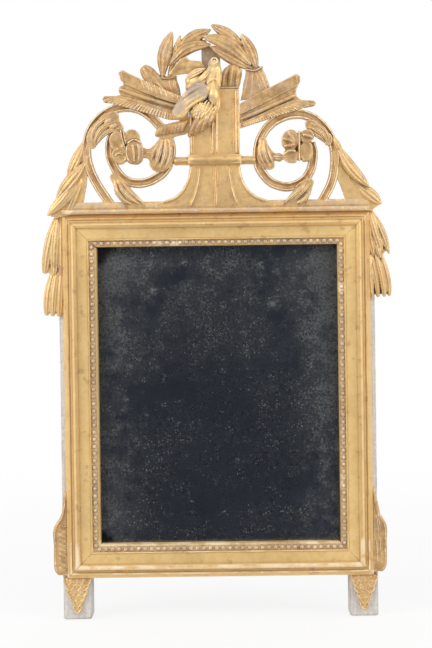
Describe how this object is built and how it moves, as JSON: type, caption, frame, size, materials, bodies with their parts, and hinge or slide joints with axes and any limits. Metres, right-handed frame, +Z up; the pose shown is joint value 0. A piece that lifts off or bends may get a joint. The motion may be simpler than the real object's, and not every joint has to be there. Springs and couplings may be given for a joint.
{
  "type": "wall mirror",
  "caption": "Carved giltwood wall mirror: pearl-edged frame on painted posts, pierced crest with a quiver, dove, wreath and scrolls, aged plate, ring at the back to hang it.",
  "frame": {"origin": "on the ground below the middle of the mirror, in the plane of the carcase's face", "axes": "+Z up, +X to the right for a person facing the mirror, the glass looks along -Y and the wall is at +Y"},
  "size_m": [0.4732, 0.08, 0.796],
  "materials": {
    "gilt_wood": "worn water gilding over red bole",
    "painted_wood": "worn pale grey paint",
    "bare_wood": "old bare softwood",
    "plate_glass": "old thin plate glass",
    "aged_silvering": "dark spotted tin amalgam",
    "iron": "dark wrought iron"
  },
  "bodies": {
    "mirror": {"top_moulding": "gilt_wood", "right_moulding": "gilt_wood", "bottom_moulding": "gilt_wood", "left_moulding": "gilt_wood", "top_pearls": "gilt_wood", "right_pearls": "gilt_wood", "bottom_pearls": "gilt_wood", "left_pearls": "gilt_wood", "crest_base": "gilt_wood", "quiver": "gilt_wood", "quiver_band": "gilt_wood", "quiver_mouth": "gilt_wood", "dove": "gilt_wood", "dove_tail": "gilt_wood", "dove_raised_wing": "gilt_wood", "dove_side_feathers": "gilt_wood", "left_wreath": "gilt_wood", "right_wreath": "gilt_wood", "left_arrow": "gilt_wood", "right_arrow": "gilt_wood", "left_scroll": "gilt_wood", "right_scroll": "gilt_wood", "left_flower": "gilt_wood", "right_flower": "gilt_wood", "left_calyx": "gilt_wood", "right_calyx": "gilt_wood", "left_sheath": "gilt_wood", "right_sheath": "gilt_wood", "left_base_leaf": "gilt_wood", "right_base_leaf": "gilt_wood", "left_garland": "gilt_wood", "right_garland": "gilt_wood", "left_drop": "gilt_wood", "right_drop": "gilt_wood", "left_ear": "gilt_wood", "right_ear": "gilt_wood", "left_foot_leaf": "gilt_wood", "right_foot_leaf": "gilt_wood", "left_stile": "painted_wood", "right_stile": "painted_wood", "bottom_rail": "bare_wood", "top_rail": "bare_wood", "crest_spine": "bare_wood", "glazing_blocks": "bare_wood", "left_backboard": "bare_wood", "middle_backboard": "bare_wood", "right_backboard": "bare_wood", "mirror_glass": "plate_glass", "silvering": "aged_silvering", "backboard_nails": "iron", "hanger_plate": "iron", "hanger_screws": "iron"},
    "ring": {"hanging_ring": "iron"}
  },
  "joints": [
    {"name": "ring_hinge", "type": "hinge", "parent": "mirror", "child": "ring", "pos_m": [0, 0.0318, 0.503], "axis": [1, 0, 0], "range_deg": [0, 165]}
  ]
}
